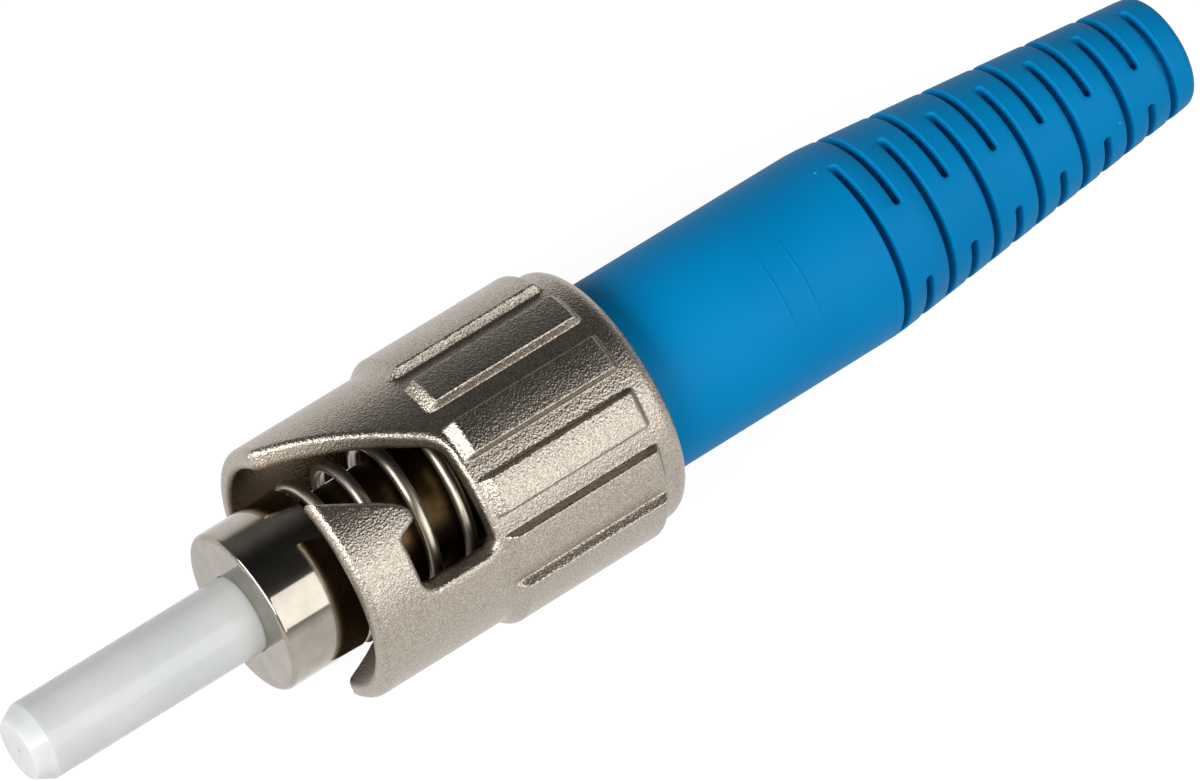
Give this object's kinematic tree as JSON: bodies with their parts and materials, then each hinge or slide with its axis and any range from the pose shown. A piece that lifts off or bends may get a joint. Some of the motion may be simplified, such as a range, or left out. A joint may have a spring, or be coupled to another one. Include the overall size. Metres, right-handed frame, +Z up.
{
  "type": "ST fibre connector",
  "caption": "Bayonet fibre-optic plug: ceramic ferrule, sprung ribbed coupling nut with slots, and a tapering grooved strain-relief boot.",
  "frame": {"origin": "on the plug's axis, in the front face of the flange that the ferrule stands out of", "axes": "+X along the axis towards the boot and the cable, the ferrule points to -X, +Z is up with the plug lying on two ribs of its nut"},
  "size_m": [0.0421, 0.0088, 0.0088],
  "materials": {
    "zirconia": "polished",
    "polished_nickel": "polished",
    "spring_steel": "satin",
    "washer_steel": "satin",
    "cast_nickel": "satin",
    "clip_steel": "satin",
    "crimp_nickel": "satin",
    "guide_plastic": "satin",
    "boot_blue": "satin"
  },
  "bodies": {
    "plug": {"ferrule": "zirconia", "plug_body": "polished_nickel", "spring": "spring_steel", "retaining_clip": "clip_steel", "crimp_sleeve": "crimp_nickel", "guide_tube": "guide_plastic", "strain_relief_boot": "boot_blue"},
    "washer": {"thrust_washer": "washer_steel"},
    "nut": {"coupling_nut": "cast_nickel"}
  },
  "joints": [
    {"name": "nut_slide", "type": "slide", "parent": "plug", "child": "washer", "axis": [-1, 0, 0], "range_m": [0, 0.002], "stiffness_N_per_m": 2500, "deforming": ["spring"]},
    {"name": "nut_turn", "type": "hinge", "parent": "washer", "child": "nut", "pos_m": [0, 0, 0], "axis": [1, 0, 0], "continuous": true}
  ]
}
